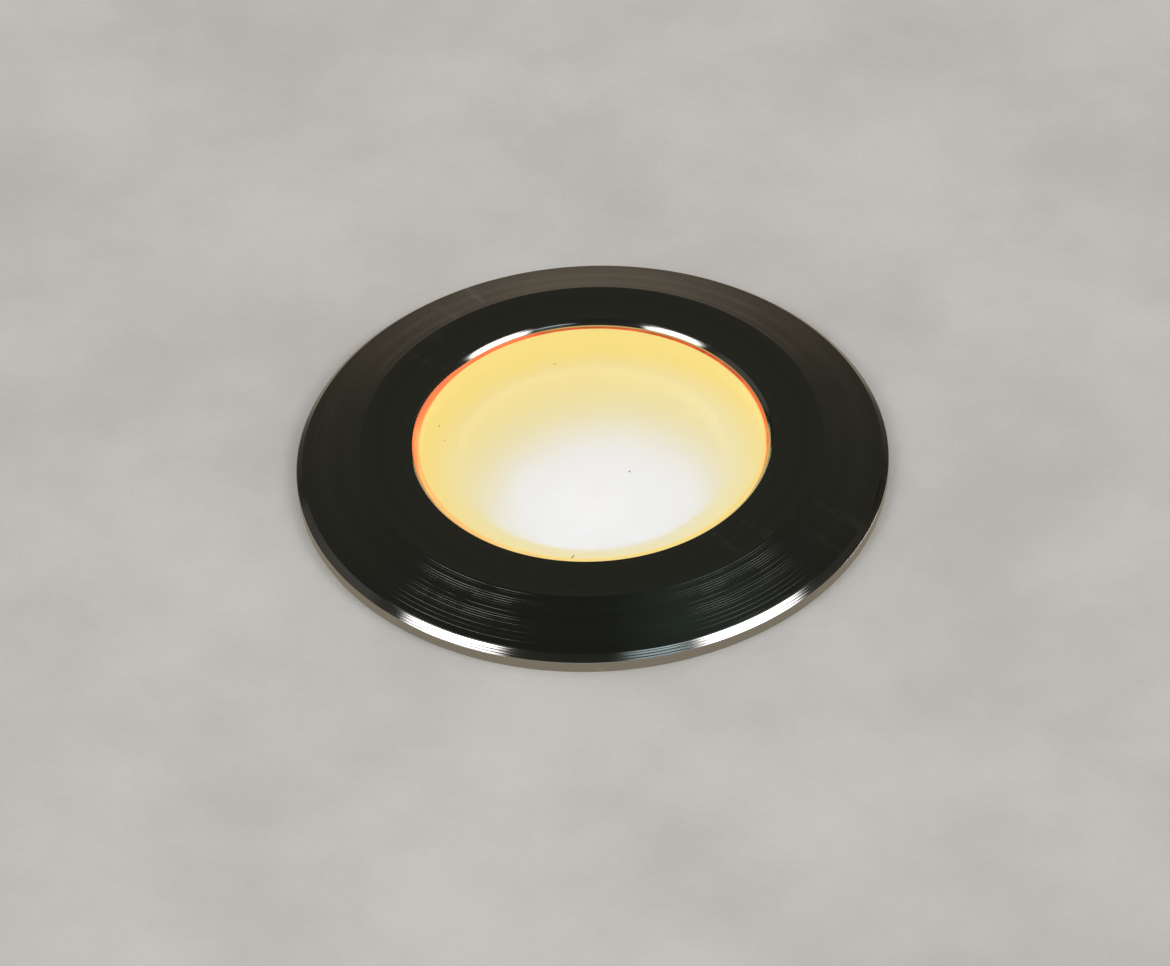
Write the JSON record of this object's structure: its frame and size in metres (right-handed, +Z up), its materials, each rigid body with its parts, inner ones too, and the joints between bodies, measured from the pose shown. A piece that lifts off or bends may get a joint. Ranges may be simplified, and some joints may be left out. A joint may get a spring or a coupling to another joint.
{
  "type": "recessed floor light",
  "caption": "Round recessed floor light: turned steel bezel with a frosted glass lens, a sealed LED housing gripped by leaf springs, and a cast-in sleeve with conduit ports.",
  "frame": {"origin": "on the lamp's axis, at the level of the finished floor, which is the underside of the bezel's flange", "axes": "+Z up out of the floor along the lamp's axis; the conduit port is on the +Y side and the plugged port on the -Y side"},
  "size_m": [0.0602, 0.0699, 0.0914],
  "materials": {
    "polished_steel": "turned and polished stainless steel with fine grooves",
    "spring_steel": "bare stainless spring strip",
    "plated_steel": "plated steel",
    "frosted_glass": "frosted, lit from behind",
    "amber_silicone": "translucent silicone bead",
    "black_rubber": "matt",
    "grey_silicone": "matt",
    "aluminium": "machined",
    "anodised_housing": "turned and anodised",
    "reflector_film": "metallised mirror film",
    "white_board": "white solder mask",
    "green_board": "green solder mask",
    "led_ceramic": "matt",
    "led_phosphor": "clear silicone over phosphor",
    "copper_winding": "enamelled copper wire",
    "ferrite": "matt",
    "capacitor_sleeve": "shrink sleeve",
    "black_epoxy": "moulded",
    "terminal_green": "moulded",
    "red_wire": "PVC",
    "black_wire": "PVC",
    "gland_nylon": "moulded nylon",
    "sleeve_plastic": "moulded, fine grain",
    "brass": "machined"
  },
  "bodies": {
    "sleeve": {"mounting_sleeve": "sleeve_plastic"},
    "plug": {"port_plug": "sleeve_plastic"},
    "lamp": {"bezel": "polished_steel", "lens": "frosted_glass", "lens_seal": "amber_silicone", "lens_gasket": "grey_silicone", "flange_gasket": "black_rubber", "neck_o_ring": "black_rubber", "reflector": "reflector_film", "led_dome": "led_phosphor", "led_package": "led_ceramic", "led_board": "white_board", "thermal_pad": "grey_silicone", "heat_spreader": "aluminium", "wire_grommet": "black_rubber", "lead_wire_red": "red_wire", "lead_wire_black": "black_wire", "driver_board": "green_board", "driver_chip": "black_epoxy", "driver_rectifier": "black_epoxy", "driver_capacitor": "capacitor_sleeve", "inductor_core": "ferrite", "inductor_winding": "copper_winding", "terminal_block": "terminal_green", "terminal_screw_1": "plated_steel", "terminal_screw_2": "plated_steel", "housing": "anodised_housing", "gland_body": "gland_nylon", "gland_seal": "grey_silicone", "gland_sealing_ring": "black_rubber", "gland_locknut": "brass", "bezel_set_screw_1": "plated_steel", "spreader_screw_1": "plated_steel", "standoff_1": "brass", "standoff_screw_1": "plated_steel", "clip_rivet_1": "plated_steel", "bezel_set_screw_2": "plated_steel", "spreader_screw_2": "plated_steel", "standoff_2": "brass", "standoff_screw_2": "plated_steel", "clip_rivet_2": "plated_steel", "bezel_set_screw_3": "plated_steel", "spreader_screw_3": "plated_steel", "standoff_3": "brass", "standoff_screw_3": "plated_steel", "clip_rivet_3": "plated_steel"},
    "cap": {"gland_cap": "gland_nylon"},
    "clip_1": {"spring_clip_1": "spring_steel"},
    "clip_2": {"spring_clip_2": "spring_steel"},
    "clip_3": {"spring_clip_3": "spring_steel"}
  },
  "joints": [
    {"name": "lamp_lift", "type": "slide", "parent": "sleeve", "child": "lamp", "axis": [0, 0, 1], "range_m": [0, 0.076]},
    {"name": "clip_flex_1", "type": "hinge", "parent": "lamp", "child": "clip_1", "pos_m": [0, -0.02205, -0.013], "axis": [1, 0, 0], "range_deg": [0, 5], "stiffness_Nm_per_rad": 0.5, "springref_deg": -1.15},
    {"name": "clip_flex_2", "type": "hinge", "parent": "lamp", "child": "clip_2", "pos_m": [0.0191, 0.01103, -0.013], "axis": [-0.5, 0.866, 0], "range_deg": [0, 5], "stiffness_Nm_per_rad": 0.5, "springref_deg": -1.15},
    {"name": "clip_flex_3", "type": "hinge", "parent": "lamp", "child": "clip_3", "pos_m": [-0.0191, 0.01103, -0.013], "axis": [-0.5, -0.866, 0], "range_deg": [0, 5], "stiffness_Nm_per_rad": 0.5, "springref_deg": -1.15},
    {"name": "gland_cap_unscrew", "type": "slide", "parent": "lamp", "child": "cap", "axis": [0, 0, -1], "range_m": [0, 0.009]},
    {"name": "port_plug_pull", "type": "slide", "parent": "sleeve", "child": "plug", "axis": [0, -1, 0], "range_m": [0, 0.008]}
  ]
}
